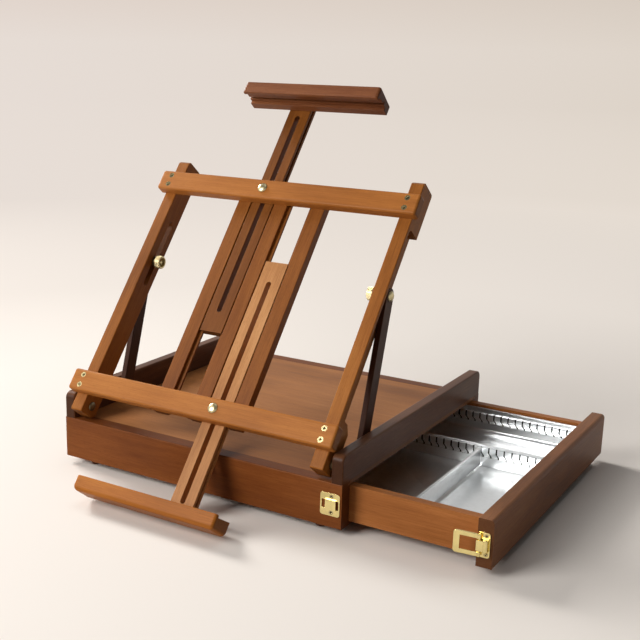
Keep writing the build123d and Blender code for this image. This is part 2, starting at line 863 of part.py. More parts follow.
def make_cross_divider():
    """Loose divider across the near compartment, hemmed at the top."""
    near = -tray_y + rim_width + moving_gap
    far = long_divider_y - rim_width / 2 - moving_gap
    z = (tray_floor + sheet + cross_divider_lift, tray_top - cross_divider_drop)
    wall = block(around(cross_divider_x, sheet), (near, far), z)
    return wall + block(around(cross_divider_x, cross_hem_width), (near, far), (z[1] - rim_height, z[1]))


# Latch
def latch_screw(gap=0.0):
    """Small screw of the latch, or its hole."""
    head = (latch_screw_head_radius, latch_screw_head_depth)
    return countersunk(latch_screw_length, latch_screw_radius, *head, gap)


def latch_screw_places(x, plate_height):
    """Places of two screws in a latch plate, with local -Z pointing into the wood."""
    reach = plate_height / 2 - latch_screw_inset
    y = front_face - latch_sheet
    return [Location((x, y, latch_middle + side * reach), (90, 0, 0)) for side in (-1, 1)]


base_screws = latch_screw_places(lever_pivot_x, latch_plate_height)
hook_screws = latch_screw_places(hook_start + hook_screw_lead, hook_plate_height)


def bore_latch_screws(piece, places):
    """Cut the holes of latch screws out of a piece."""
    for place in places:
        piece -= place * latch_screw(screw_gap)
    return piece


def latch_plate(x, height):
    """Thin plate with round corners on the front of the box."""
    plate = block(x, (front_face - latch_sheet, front_face), around(latch_middle, height))
    return fillet(plate.edges().filter_by(Axis.Y), latch_corner)


def make_latch_base():
    """Plate on the end of the drawer front, with two ears for the lever."""
    base = latch_plate((drawer_face, drawer_face + latch_plate_width), latch_plate_height)
    base = bore_latch_screws(base, base_screws)
    for side in (-1, 1):
        middle = latch_middle + side * (lever_width / 2 + moving_gap + latch_sheet / 2)
        ear_y = (bail_plane - ear_half_length, front_face)
        base += block(around(lever_pivot_x, 2 * ear_half_length), ear_y, around(middle, latch_sheet))
    return base - rod_z(lever_pin_radius + screw_gap, lever_pivot_x, bail_plane, lever_pin_span())


def lever_pin_span():
    """Ends of the lever's pin, flush with its ears."""
    return around(latch_middle, lever_width + 2 * (moving_gap + latch_sheet))


def make_lever_pin():
    """Pin of the lever, held in the ears."""
    return rod_z(lever_pin_radius, lever_pivot_x, bail_plane, lever_pin_span())


def make_latch_lever():
    """Lever of the latch, which swings out from the plate."""
    z = around(latch_middle, lever_width)
    body = block((drawer_face + lever_tip_inset, lever_pivot_x), around(bail_plane, lever_thickness), z)
    body = fillet(body.edges().filter_by(Axis.Z).group_by(Axis.X)[0], lever_tip_round)
    body += rod_z(lever_hub_radius, lever_pivot_x, bail_plane, z)
    body -= rod_z(lever_pin_radius + running_gap, lever_pivot_x, bail_plane, z)
    return body - rod_z(bail_pin_radius + screw_gap, bail_pivot_x, bail_plane, z)


def make_bail_pin():
    """Pin through the lever that carries the bail."""
    return rod_z(bail_pin_radius, bail_pivot_x, bail_plane, around(latch_middle, bail_height - bail_arm))


def make_latch_bail():
    """Flat bail with a lip at its far end and two arms that end in eyes on the pin."""
    left = bail_pivot_x - bail_length
    y = around(bail_plane, bail_thickness)
    z = around(latch_middle, bail_height)
    inside_z = around(latch_middle, bail_height - 2 * bail_arm)
    plate = block((left, bail_pivot_x), y, z)
    plate = fillet(plate.edges().filter_by(Axis.Y).group_by(Axis.X)[0], latch_corner)
    plate += block((left, left + bail_lip), (y[0], y[1] + bail_lip), inside_z)
    plate += rod_z(bail_eye_radius, bail_pivot_x, bail_plane, z)
    window = (left + bail_bar, bail_pivot_x + bail_eye_radius)
    plate -= block(window, (y[0] - bail_eye_radius, y[1] + bail_eye_radius), inside_z)
    pin = around(latch_middle, bail_height - bail_arm)
    plate -= rod_z(bail_pin_radius + running_gap, bail_pivot_x, bail_plane, pin)
    pivot = Pos(bail_pivot_x, bail_plane, 0)
    return pivot * Rot(0, 0, bail_rest_angle) * pivot.inverse() * plate


def make_hook_plate():
    """Plate on the front panel with a raised bridge that the bail's lip hooks behind."""
    x = (hook_start - hook_plate_lead, right_face - hook_plate_inset)
    plate = latch_plate(x, hook_plate_height)
    bridge_x = (hook_start, hook_start + hook_length)
    z = around(latch_middle, hook_width)
    under_z = around(latch_middle, hook_width - 2 * latch_sheet)
    window_x = (hook_start - hook_window, bridge_x[1] + hook_window / 2)
    plate -= block(window_x, (front_face - latch_sheet, front_face), under_z)
    outer = front_face - hook_stand_off
    bridge = block(bridge_x, (outer, front_face - latch_sheet), z)
    bridge -= block(bridge_x, (outer + latch_sheet, front_face - latch_sheet), under_z)
    return bore_latch_screws(plate + bridge, hook_screws)


side_rails = both_sides(make_side_rail())
posts = both_sides(make_post())
struts = both_sides(make_strut())
strut_bolts = both_sides(make_strut_bolt())
strut_washers = both_sides(make_strut_washer())
thumb_nuts = both_sides(make_thumb_nut())
mast_bolts = [(upper_mast_x, top_bolt_u), (lower_mast_x, bottom_bolt_u)]

nodes = {
    "front_panel": bore_latch_screws(make_cross_panel(-1), hook_screws),
    "back_panel": make_cross_panel(1),
    "left_end_panel": make_end_panel(),
    "table_top": make_table_top(),
    "bottom_panel": make_bottom_panel(),
    "feet": make_feet(),
    "right_side_rail": side_rails[0],
    "left_side_rail": side_rails[1],
    "frame_pivot_bolts": both_sides(make_frame_pivot()),
    "frame_pivot_spacers": both_sides(make_frame_spacer()),
    "strut_pivot_screws": both_sides(make_strut_pivot()),
    "strut_pivot_spacers": both_sides(make_strut_spacer()),
    "hook_plate": make_hook_plate(),
    "hook_plate_screws": [place * latch_screw() for place in hook_screws],
    "right_post": on_frame(posts[0]),
    "left_post": on_frame(posts[1]),
    "top_crossbar": on_frame(make_crossbar(top_bar_start, *mast_bolts[0])),
    "bottom_crossbar": on_frame(make_crossbar(bottom_bar_start, *mast_bolts[1])),
    "crossbar_screws": [on_frame(place * wood_screw(crossbar_screw_length)) for place in bar_screws],
    "left_guide_rail": on_frame(make_guide_rail(-guide_spacing, [1])),
    "centre_guide_rail": on_frame(make_guide_rail(0, [-1, 1])),
    "right_guide_rail": on_frame(make_guide_rail(guide_spacing, [-1])),
    "guide_rail_screws": [on_frame(place * wood_screw(guide_screw_length)) for place in guide_screws],
    "clamp_bolts": [on_frame(make_clamp_bolt(*place)) for place in mast_bolts],
    "clamp_washers": [on_frame(make_clamp_washer(*place)) for place in mast_bolts],
    "top_clamp_nut": on_frame(make_clamp_nut(*mast_bolts[0])),
    "bottom_clamp_nut": on_frame(make_clamp_nut(*mast_bolts[1])),
    "upper_mast": on_frame(make_upper_mast()),
    "canvas_clamp": on_frame(make_canvas_clamp()),
    "canvas_clamp_screws": [on_frame(clamp_screw(side)) for side in (-1, 1)],
    "lower_mast": cut_level(on_frame(make_lower_mast()), mast_floor_gap),
    "canvas_ledge": on_frame(make_canvas_ledge()),
    "canvas_ledge_dowels": [on_frame(ledge_dowel(side)) for side in (-1, 1)],
    "right_strut": on_strut(struts[0]),
    "left_strut": on_strut(struts[1]),
    "right_strut_bolt": on_strut(strut_bolts[0]),
    "left_strut_bolt": on_strut(strut_bolts[1]),
    "right_strut_washer": on_strut(strut_washers[0]),
    "left_strut_washer": on_strut(strut_washers[1]),
    "right_thumb_nut": on_strut(thumb_nuts[0]),
    "left_thumb_nut": on_strut(thumb_nuts[1]),
    "drawer_front": make_drawer_front(),
    "drawer_near_side": make_drawer_side(-1),
    "drawer_far_side": make_drawer_side(1),
    "drawer_end": make_drawer_end(),
    "drawer_bottom": make_drawer_bottom(),
    "metal_tray": make_metal_tray(),
    "long_divider": make_long_divider(),
    "cross_divider": make_cross_divider(),
    "latch_base": make_latch_base(),
    "latch_screws": [place * latch_screw() for place in base_screws],
    "latch_lever_pin": make_lever_pin(),
    "latch_lever": make_latch_lever(),
    "latch_bail_pin": make_bail_pin(),
    "latch_bail": make_latch_bail(),
}

os.makedirs("parts", exist_ok=True)
for name, shape in nodes.items():
    solids = shape if isinstance(shape, list) else [shape]
    pieces = [solid for piece in solids for solid in piece.solids()]
    export_step(Compound(children=pieces), f"parts/{name}.step")

print(f"frame pivot at Y {pivot_y:.2f}, Z {pivot_z:.2f}")
print(f"strut pivot at Y {strut_y:.2f}, Z {pivot_z:.2f}, strut angle {strut_angle:.2f} degrees")
print(f"strut bolt {pin_distance:.2f} up the post")
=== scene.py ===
import json
from math import cos, pi, radians, sin

import bmesh
import bpy
from mathutils import Matrix, Vector

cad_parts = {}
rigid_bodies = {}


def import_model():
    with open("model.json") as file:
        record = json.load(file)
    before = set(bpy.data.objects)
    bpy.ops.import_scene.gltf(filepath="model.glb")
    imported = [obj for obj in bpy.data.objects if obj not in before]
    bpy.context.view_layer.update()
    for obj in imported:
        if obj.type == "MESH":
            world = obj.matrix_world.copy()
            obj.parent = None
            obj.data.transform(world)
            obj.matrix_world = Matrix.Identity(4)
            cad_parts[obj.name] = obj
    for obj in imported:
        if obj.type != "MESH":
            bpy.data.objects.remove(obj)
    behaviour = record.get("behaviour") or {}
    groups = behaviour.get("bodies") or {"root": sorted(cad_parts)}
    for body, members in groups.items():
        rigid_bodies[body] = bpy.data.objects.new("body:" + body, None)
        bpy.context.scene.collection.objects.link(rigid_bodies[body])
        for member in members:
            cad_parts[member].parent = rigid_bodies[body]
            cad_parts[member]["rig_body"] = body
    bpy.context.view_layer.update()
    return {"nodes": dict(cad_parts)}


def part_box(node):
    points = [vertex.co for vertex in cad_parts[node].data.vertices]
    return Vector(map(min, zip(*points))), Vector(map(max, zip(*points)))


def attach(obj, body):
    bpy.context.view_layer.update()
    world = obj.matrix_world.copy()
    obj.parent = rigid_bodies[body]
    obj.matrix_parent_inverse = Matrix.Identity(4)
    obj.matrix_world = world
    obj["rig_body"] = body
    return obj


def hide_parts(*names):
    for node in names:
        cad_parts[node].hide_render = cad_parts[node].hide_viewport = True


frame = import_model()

nodes = frame["nodes"]

# Box walls: front and back panels that run the full width, and the left end between them.
# Planed beech with a walnut stain under satin lacquer. The panels are grooved for the table
# top and rebated for the bottom, and their edges are eased by hand.


def stain(red, green, blue):
    """Colour of a finish, given as it looks in plain light from 0 to 255."""
    shares = [value / 255 for value in (red, green, blue)]
    return tuple(((s + 0.055) / 1.055) ** 2.4 if s > 0.04 else s / 12.92 for s in shares) + (1.0,)


def grey(share):
    """A share from 0 to 1 as a colour."""
    return (share, share, share, 1)


def add_node(tree, kind, values=None, **settings):
    """New node whose inputs are set to plain values or joined to other sockets."""
    node = tree.nodes.new(kind)
    for key, value in settings.items():
        setattr(node, key, value)
    for key, value in (values or {}).items():
        if isinstance(value, bpy.types.NodeSocket):
            tree.links.new(value, node.inputs[key])
        else:
            node.inputs[key].default_value = value
    return node


def add_ramp(tree, factor, stops):
    """Colour ramp through a list of (place, colour) stops."""
    ramp = add_node(tree, "ShaderNodeValToRGB", {"Fac": factor})
    elements = ramp.color_ramp.elements
    while len(elements) < len(stops):
        elements.new(0.5)
    for element, (place, colour) in zip(elements, stops):
        element.position = place
        element.color = colour
    return ramp.outputs["Color"]


def add_math(tree, operation, first, second, third=0.0):
    """Result of one sum on sockets or plain numbers."""
    node = add_node(tree, "ShaderNodeMath", {0: first, 1: second, 2: third}, operation=operation)
    return node.outputs[0]


def mixed(tree, share, first, second):
    """Colour that goes from the first to the second as the share goes from 0 to 1."""
    colours = {0: share, 6: first, 7: second}
    return add_node(tree, "ShaderNodeMix", colours, data_type="RGBA").outputs[2]


def stretched_noise(tree, vector, scale, detail=3.0, roughness=0.55):
    """Noise on a vector that is scaled differently along each axis."""
    scaled = add_node(tree, "ShaderNodeMapping", {"Vector": vector, "Scale": scale})
    sizes = {"Scale": 1.0, "Detail": detail, "Roughness": roughness, "Distortion": 0.0}
    noise = add_node(tree, "ShaderNodeTexNoise", {"Vector": scaled.outputs[0], **sizes})
    return noise.outputs[0]


def along(grain, length_scale, width_scale):
    """Scale of a pattern that is stretched along the grain axis 0, 1 or 2."""
    return tuple(length_scale if axis == grain else width_scale for axis in range(3))


def worn_and_highlit_edges(tree, amount=0.2, reach=0.0011, gain=4.5):
    """Share, up to an amount, by which the colour turns lighter along the edges: partly stain rubbed
    thin, partly a painted highlight.
    """
    rounded = add_node(tree, "ShaderNodeBevel", {"Radius": reach}, samples=4).outputs[0]
    flat = add_node(tree, "ShaderNodeNewGeometry").outputs["Normal"]
    level = add_node(tree, "ShaderNodeVectorMath", {0: rounded, 1: flat}, operation="DOT_PRODUCT")
    bend = add_math(tree, "SUBTRACT", 1.0, level.outputs["Value"])
    edge = add_math(tree, "MULTIPLY", bend, gain * amount)
    return add_math(tree, "MINIMUM", edge, amount)


def new_material(name):
    """New material with its node tree and its main shader."""
    material = bpy.data.materials.new(name)
    material.use_nodes = True
    return material, material.node_tree, material.node_tree.nodes["Principled BSDF"]


board_step = (0.31, 0.17, 0.23)


def stained_wood(name, dark, middle, light, grain=0, turn=0.0, shift=0, lacquer=0.42):
    """Stained and lacquered beech. The turn about X brings the grain back to an axis."""
    material, tree, surface = new_material(name)
    sources = add_node(tree, "ShaderNodeTexCoord").outputs
    offset = tuple(step * shift for step in board_step)
    sawn = {"Vector": sources["Object"], "Location": offset, "Rotation": (turn, 0, 0)}
    local = add_node(tree, "ShaderNodeMapping", sawn).outputs[0]
    cloud = stretched_noise(tree, local, along(grain, 4.0, 14.0), detail=2.0)
    streaks = stretched_noise(tree, local, along(grain, 7.0, 150.0), detail=3.0)
    fibres = stretched_noise(tree, local, along(grain, 30.0, 900.0), detail=3.0, roughness=0.65)
    flecks = stretched_noise(tree, local, along(grain, 170.0, 1300.0), detail=1.0, roughness=0.4)
    cloud_share, streak_share, fibre_share, base_tone = 0.42, 0.16, 0.28, 0.07
    broad = add_math(tree, "MULTIPLY_ADD", cloud, cloud_share, base_tone)
    banded = add_math(tree, "MULTIPLY_ADD", streaks, streak_share, broad)
    tone = add_math(tree, "MULTIPLY_ADD", fibres, fibre_share, banded)
    colour = add_ramp(tree, tone, [(0.36, dark), (0.50, middle), (0.65, light)])
    dashes = add_ramp(tree, flecks, [(0.60, grey(0)), (0.72, grey(1))])
    fleck_depth = 0.4
    flecked = mixed(tree, add_math(tree, "MULTIPLY", dashes, fleck_depth), colour, dark)
    # Lighter along the edges: worn stain and a painted edge highlight.
    rubbed = mixed(tree, worn_and_highlit_edges(tree), flecked, light)
    # End-grain faces turn darker: partly stain that soaks in deeper, partly painted shade.
    facing = {"Vector": sources["Normal"], "Rotation": (turn, 0, 0)}
    aligned = add_node(tree, "ShaderNodeMapping", facing, vector_type="VECTOR").outputs[0]
    lengthwise = add_node(tree, "ShaderNodeSeparateXYZ", {0: aligned}).outputs[grain]
    across = add_math(tree, "ABSOLUTE", lengthwise, 0.0)
    end_grain = add_ramp(tree, across, [(0.70, grey(0)), (0.95, grey(0.75))])
    soaked_and_shaded_share = 0.6
    soaked_and_shaded = tuple(soaked_and_shaded_share * value for value in dark[:3]) + (1.0,)
    tree.links.new(mixed(tree, end_grain, rubbed, soaked_and_shaded), surface.inputs["Base Color"])
    sheen_spread = 0.12
    sheen = add_math(tree, "MULTIPLY_ADD", streaks, sheen_spread, lacquer - sheen_spread / 2)
    tree.links.new(sheen, surface.inputs["Roughness"])
    heights = {"Strength": 0.12, "Distance": 0.0003, "Height": fibres}
    bump = add_node(tree, "ShaderNodeBump", heights)
    tree.links.new(bump.outputs[0], surface.inputs["Normal"])
    surface.inputs["Specular IOR Level"].default_value = 0.12
    return material


def dress(material, *names):
    """Give CAD nodes a finish."""
    for name in names:
        for slot in nodes[name].material_slots:
            slot.material = material


def link_mesh(name, mesh):
    """New object with a mesh."""
    piece = bpy.data.objects.new(name, mesh)
    bpy.context.scene.collection.objects.link(piece)
    return piece


def freeze(piece):
    """Turn an object's modifiers into a plain mesh."""
    bpy.context.view_layer.update()
    finished = piece.evaluated_get(bpy.context.evaluated_depsgraph_get())
    mesh = bpy.data.meshes.new_from_object(finished)
    piece.modifiers.clear()
    piece.data = mesh
    return piece


def smooth_under(mesh, degrees):
    """Shade a mesh smooth where its faces turn less than an angle."""
    mesh.polygons.foreach_set("use_smooth", [True] * len(mesh.polygons))
    mesh.set_sharp_from_angle(angle=radians(degrees))


def stand_in(piece, node, material=None):
    """Let a piece take the place of a CAD node, on its body and with its finish."""
    if material:
        piece.data.materials.clear()
        piece.data.materials.append(material)
    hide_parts(node)
    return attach(piece, nodes[node]["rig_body"])


same_point = 1e-6


def eased(node, width, material, steps=2):
    """Copy of a CAD node with its sharp edges rounded over."""
    mesh = nodes[node].data.copy()
    if "custom_normal" in mesh.attributes:
        mesh.attributes.remove(mesh.attributes["custom_normal"])
    shell = bmesh.new()
    shell.from_mesh(mesh)
    bmesh.ops.remove_doubles(shell, verts=shell.verts, dist=same_point)
    flat = {"angle_limit": radians(0.5), "verts": shell.verts, "edges": shell.edges}
    bmesh.ops.dissolve_limit(shell, **flat)
    shell.to_mesh(mesh)
    shell.free()
    piece = link_mesh("eased_" + node, mesh)
    rounding = piece.modifiers.new("rounding", "BEVEL")
    rounding.width = width
    rounding.segments = steps
    rounding.limit_method = "ANGLE"
    rounding.angle_limit = radians(40)
    rounding.use_clamp_overlap = True
    freeze(piece)
    smooth_under(piece.data, 32)
    flats = piece.modifiers.new("flats", "WEIGHTED_NORMAL")
    flats.keep_sharp = True
    return stand_in(freeze(piece), node, material)


panel_stain = (stain(94, 48, 18), stain(120, 66, 28), stain(142, 84, 40))
front_beech = stained_wood("front_panel_beech", *panel_stain, shift=1)
back_beech = stained_wood("back_panel_beech", *panel_stain, shift=2)
end_beech = stained_wood("end_panel_beech", *panel_stain, grain=1, shift=3)
panel_ease = 0.0007
eased("front_panel", panel_ease, front_beech)
eased("back_panel", panel_ease, back_beech)
eased("left_end_panel", panel_ease, end_beech)

# Table top: a thin board, flush with the walls and tongued into three of them. It is faced
# with a duller, browner veneer whose open grain runs along the front of the box.
veneer_stain = (stain(132, 84, 48), stain(162, 106, 60), stain(182, 126, 78))
veneer = stained_wood("table_veneer_face", *veneer_stain, shift=4, lacquer=0.46)
eased("table_top", 0.0004, veneer)

# Bottom panel and feet: a thin board let into the rebates, and four small turned studs
# screwed up into it near the corners.
dress(stained_wood("bottom_beech", *panel_stain, shift=5, lacquer=0.55), "bottom_panel")
foot_stain = (stain(50, 26, 14), stain(78, 42, 24), stain(104, 60, 36))
dress(stained_wood("foot_beech", *foot_stain, grain=2, shift=6), "feet")

# Side rails: thick strips that stand on the box at both ends with round shoulders. They
# carry the pivots of the hinged frame and of its struts.
# The rails' stain is darkened to paint the shade on their outer faces.
shaded_rail_stain = (stain(68, 38, 22), stain(92, 56, 34), stain(116, 76, 50))
for shift, side in ((7, "right"), (8, "left")):
    rail = stained_wood(side + "_rail_beech", *shaded_rail_stain, grain=1, shift=shift, lacquer=0.36)
    dress(rail, side + "_side_rail")

# Pivots: bolts and screws of dark bronze through the feet of the posts and struts, each
# with a ring of the same metal that keeps the wood off the rail.


def polished_metal(name, colour, roughness, smudge, waviness=0.0):
    """Bright metal with faint smudges and, in sheet, shallow waves."""
    material, tree, surface = new_material(name)
    surface.inputs["Metallic"].default_value = 1.0
    place = add_node(tree, "ShaderNodeTexCoord").outputs["Object"]
    smears = stretched_noise(tree, place, (160, 160, 160), detail=5.0)
    dulled = tuple((1 - 2 * smudge) * value for value in colour[:3]) + (1.0,)
    tarnish = add_ramp(tree, smears, [(0.35, dulled), (0.6, colour)])
    tree.links.new(tarnish, surface.inputs["Base Color"])
    rubbed = add_math(tree, "MULTIPLY_ADD", smears, smudge, roughness - smudge / 2)
    tree.links.new(rubbed, surface.inputs["Roughness"])
    if waviness:
        waves = stretched_noise(tree, place, (13, 13, 20), detail=1.0)
        heights = {"Strength": waviness, "Distance": 0.002, "Height": waves}
        bump = add_node(tree, "ShaderNodeBump", heights)
        tree.links.new(bump.outputs[0], surface.inputs["Normal"])
    return material


brass = polished_metal("brass", (0.88, 0.74, 0.33, 1), 0.14, 0.05)
# A darker copy of the same brass, which paints shade into the nuts and bolt heads.
shaded_brass = polished_metal("shaded_brass", (0.56, 0.47, 0.27, 1), 0.32, 0.08)
aged_brass = polished_metal("screw_brass", (0.56, 0.46, 0.24, 1), 0.26, 0.1)
dark_bronze = polished_metal("pivot_bronze", (0.16, 0.12, 0.07, 1), 0.32, 0.1)
dress(dark_bronze, "frame_pivot_spacers", "strut_pivot_spacers")


def loose_parts(node):
    """Vertices of each separate solid of a CAD node."""
    shell = bmesh.new()
    shell.from_mesh(nodes[node].data)
    bmesh.ops.remove_doubles(shell, verts=shell.verts, dist=same_point)
    waiting = set(shell.verts)
    parts = []
    while waiting:
        group = [waiting.pop()]
        for vertex in group:
            near = {edge.other_vert(vertex) for edge in vertex.link_edges} & waiting
            waiting -= near
            group.extend(near)
        parts.append([vertex.co.copy() for vertex in group])
    shell.free()
    return parts


def take_mesh(shell, name):
    """Mesh of a finished shell, which is let go."""
    mesh = bpy.data.meshes.new(name)
    shell.to_mesh(mesh)
    shell.free()
    return mesh


def turned(name, outline, steps=56):
    """Mesh turned on a lathe from (radius, height) points that start and end on the axis."""
    shell = bmesh.new()
    ring = [shell.verts.new((radius, 0, height)) for radius, height in outline]
    edges = [shell.edges.new(pair) for pair in zip(ring, ring[1:])]
    turn = {"axis": (0, 0, 1), "cent": (0, 0, 0), "angle": 2 * pi, "steps": steps}
    bmesh.ops.spin(shell, geom=ring + edges, **turn)
    bmesh.ops.remove_doubles(shell, verts=shell.verts, dist=same_point)
    bmesh.ops.recalc_face_normals(shell, faces=shell.faces)
    return take_mesh(shell, name)


def set_upright(mesh, facing, place):
    """Turn the axis of a turned mesh to a direction and move its origin to a point."""
    mesh.transform(Matrix.Translation(place) @ facing.to_track_quat("Z", "Y").to_matrix().to_4x4())
    return mesh


dome_steps = 10
head_rim = 0.0003
rim_chamfer = 0.0002
tip_chamfer = 0.0006


def domed_bolts(node, facing, metal, dome, shank_radius, mirrored=False):
    """Bolts with smooth domed heads in place of the plain ones of a CAD node."""
    shell = bmesh.new()
    quarter = [step / dome_steps * pi / 2 for step in range(dome_steps + 1)]
    for points in loose_parts(node):
        side = -1 if mirrored and points[0].x < 0 else 1
        axes = (side * facing).to_track_quat("Z", "Y").to_matrix().transposed()
        spans = [[point.dot(axis) for point in points] for axis in axes]
        low, high = [min(span) for span in spans], [max(span) for span in spans]
        radius, length = (high[0] - low[0]) / 2, high[2] - low[2]
        outline = [(radius * sin(angle), dome * (cos(angle) - 1)) for angle in quarter]
        outline += [(radius - rim_chamfer, -dome - head_rim), (shank_radius, -dome - head_rim)]
        outline += [(shank_radius, -length + tip_chamfer)]
        outline += [(shank_radius - tip_chamfer, -length), (0.0, -length)]
        middle = (low[0] + high[0]) / 2 * axes[0] + (low[1] + high[1]) / 2 * axes[1]
        top = middle + high[2] * axes[2]
        shell.from_mesh(set_upright(turned(node, outline), side * facing, top))
    mesh = take_mesh(shell, node)
    smooth_under(mesh, 34)
    stand_in(link_mesh("domed_" + node, mesh), node, metal)


inwards = Vector((-1, 0, 0))
frame_bolt = {"dome": 0.0021, "shank_radius": 0.0030}
domed_bolts("frame_pivot_bolts", inwards, dark_bronze, **frame_bolt, mirrored=True)
pivot_screw = {"dome": 0.0013, "shank_radius": 0.0022}
domed_bolts("strut_pivot_screws", inwards, dark_bronze, **pivot_screw, mirrored=True)

# Hook plate: stamped brass with a raised bridge for the bail, held on the front panel by two
# small countersunk screws with crossed recesses.


def geometry_tree(name, inputs):
    """Node group that takes a mesh and named sizes and gives a mesh."""
    tree = bpy.data.node_groups.new(name, "GeometryNodeTree")
    tree.interface.new_socket("Geometry", in_out="INPUT", socket_type="NodeSocketGeometry")
    for label, kind in inputs.items():
        tree.interface.new_socket(label, in_out="INPUT", socket_type="NodeSocket" + kind)
    tree.interface.new_socket("Geometry", in_out="OUTPUT", socket_type="NodeSocketGeometry")
    return tree, tree.nodes.new("NodeGroupInput").outputs


def lifted(tree, mesh, level):
    """Mesh of a node group, moved up to a level."""
    way = add_node(tree, "ShaderNodeCombineXYZ", {"Z": level}).outputs[0]
    moved = {"Geometry": mesh, "Translation": way}
    return add_node(tree, "GeometryNodeTransform", moved).outputs[0]


def end_tree(tree, instances, material, joined=None, chosen=True):
    """Make instances real, join what is given, and set the material of the chosen faces."""
    real = add_node(tree, "GeometryNodeRealizeInstances", {0: instances}).outputs[0]
    if joined:
        both = add_node(tree, "GeometryNodeJoinGeometry", {0: real})
        tree.links.new(joined, both.inputs[0])
        real = both.outputs[0]
    finish = {"Geometry": real, "Selection": chosen, "Material": material}
    done = add_node(tree, "GeometryNodeSetMaterial", finish)
    tree.links.new(done.outputs[0], tree.nodes.new("NodeGroupOutput").inputs[0])


def grow(piece, tree, sizes):
    """Run a node group on a piece with its named sizes and keep the plain mesh."""
    modifier = piece.modifiers.new("grow", "NODES")
    modifier.node_group = tree
    for item in tree.interface.items_tree:
        if item.in_out == "INPUT" and item.name in sizes:
            modifier[item.identifier] = sizes[item.name]
    return freeze(piece)


def screw_tree():
    """Countersunk screws on points: head, shank and a crossed recess."""
    names = {
        "Head Radius": "Float", "Head Depth": "Float", "Shank Radius": "Float", "Length": "Float",
        "Recess Length": "Float", "Recess Width": "Float", "Facing": "Vector", "Material": "Material",
        "Recess Material": "Material",
    }
    tree, given = geometry_tree("countersunk_screws", names)
    cone = {
        "Vertices": 32, "Side Segments": 1, "Fill Segments": 1, "Radius Top": given["Head Radius"],
        "Radius Bottom": given["Shank Radius"], "Depth": given["Head Depth"],
    }
    head = add_node(tree, "GeometryNodeMeshCone", cone).outputs["Mesh"]
    sunk = add_math(tree, "MULTIPLY", given["Head Depth"], -1.0)
    seated = lifted(tree, head, sunk)
    recess_share = 1.7
    recess_height = add_math(tree, "MULTIPLY", given["Head Depth"], recess_share)
    size = {"X": given["Recess Length"], "Y": given["Recess Width"], "Z": recess_height}
    recess_size = add_node(tree, "ShaderNodeCombineXYZ", size).outputs[0]
    cube = add_node(tree, "GeometryNodeMeshCube", {"Size": recess_size}).outputs["Mesh"]
    # The crossed recess takes its own near-black metal, a painted shade.
    dull = {"Geometry": cube, "Material": given["Recess Material"]}
    bar = add_node(tree, "GeometryNodeSetMaterial", dull).outputs[0]
    quarter_turn = {"Geometry": bar, "Rotation": (0, 0, pi / 2)}
    crossed = add_node(tree, "GeometryNodeTransform", quarter_turn).outputs[0]
    pressed = {0: seated, 1: bar}
    cut = add_node(tree, "GeometryNodeMeshBoolean", pressed, operation="DIFFERENCE")
    tree.links.new(crossed, cut.inputs[1])
    pin = {"Vertices": 16, "Radius": given["Shank Radius"], "Depth": given["Length"]}
    shank = add_node(tree, "GeometryNodeMeshCylinder", pin).outputs["Mesh"]
    half = add_math(tree, "MULTIPLY", given["Length"], -0.5)
    lowered = lifted(tree, shank, add_math(tree, "ADD", half, sunk))
    screw = add_node(tree, "GeometryNodeJoinGeometry", {0: cut.outputs[0]})
    tree.links.new(lowered, screw.inputs[0])
    aim = add_node(tree, "FunctionNodeAlignRotationToVector", {"Vector": given["Facing"]}, axis="Z")
    placed = {"Points": given["Geometry"], "Instance": screw.outputs[0], "Rotation": aim.outputs[0]}
    shaded = {0: given["Recess Material"]}
    inside = add_node(tree, "GeometryNodeMaterialSelection", shaded).outputs[0]
    outside = add_node(tree, "FunctionNodeBooleanMath", {0: inside}, operation="NOT").outputs[0]
    instances = add_node(tree, "GeometryNodeInstanceOnPoints", placed).outputs[0]
    end_tree(tree, instances, given["Material"], chosen=outside)
    return tree


flatness = 1e-5


def head_centre(points, facing):
    """Middle of the face of a screw that looks along a direction."""
    reach = max(point.dot(facing) for point in points)
    face = [point for point in points if reach - point.dot(facing) < flatness]
    middle = [(min(p[i] for p in face) + max(p[i] for p in face)) / 2 for i in range(3)]
    return Vector(middle)


screws = screw_tree()
# Near-black metal for the recesses of screws and nuts: painted shade.
painted_recess_shade = polished_metal("screw_recess", (0.05, 0.04, 0.025, 1), 0.6, 0.1)


def drive_screws(node, facing, head_radius, head_depth, shank_radius, length):
    """Real screws in place of the plain ones of a CAD node."""
    mesh = bpy.data.meshes.new(node)
    mesh.from_pydata([head_centre(part, facing) for part in loose_parts(node)], [], [])
    piece = link_mesh("crossed_" + node, mesh)
    sizes = {
        "Head Radius": head_radius, "Head Depth": head_depth, "Shank Radius": shank_radius,
        "Length": length, "Recess Length": 1.15 * head_radius, "Recess Width": 0.46 * head_radius,
        "Facing": facing, "Material": aged_brass, "Recess Material": painted_recess_shade,
    }
    grow(piece, screws, sizes)
    smooth_under(piece.data, 30)
    stand_in(piece, node)


latch_screw = {"head_radius": 0.0028, "head_depth": 0.0009, "shank_radius": 0.0013, "length": 0.008}
out_of_front = Vector((0, -1, 0))
eased("hook_plate", 0.0003, brass, 3)
drive_screws("hook_plate_screws", out_of_front, **latch_screw)

# Posts: two long beech bars that lean back from the pivots. The outer back of each is routed
# away so that its strut folds into it, and a slot in the web carries the strut bolt.
lean = radians(51.5)
out_of_frame = Vector((0, -sin(lean), cos(lean)))
post_stain = (stain(116, 65, 21), stain(146, 87, 33), stain(168, 107, 46))
frame_wood = {"grain": 1, "turn": -lean}
for shift, side in ((9, "left"), (10, "right")):
    post_beech = stained_wood(side + "_post_beech", *post_stain, shift=shift, **frame_wood)
    eased(side + "_post", 0.0005, post_beech)

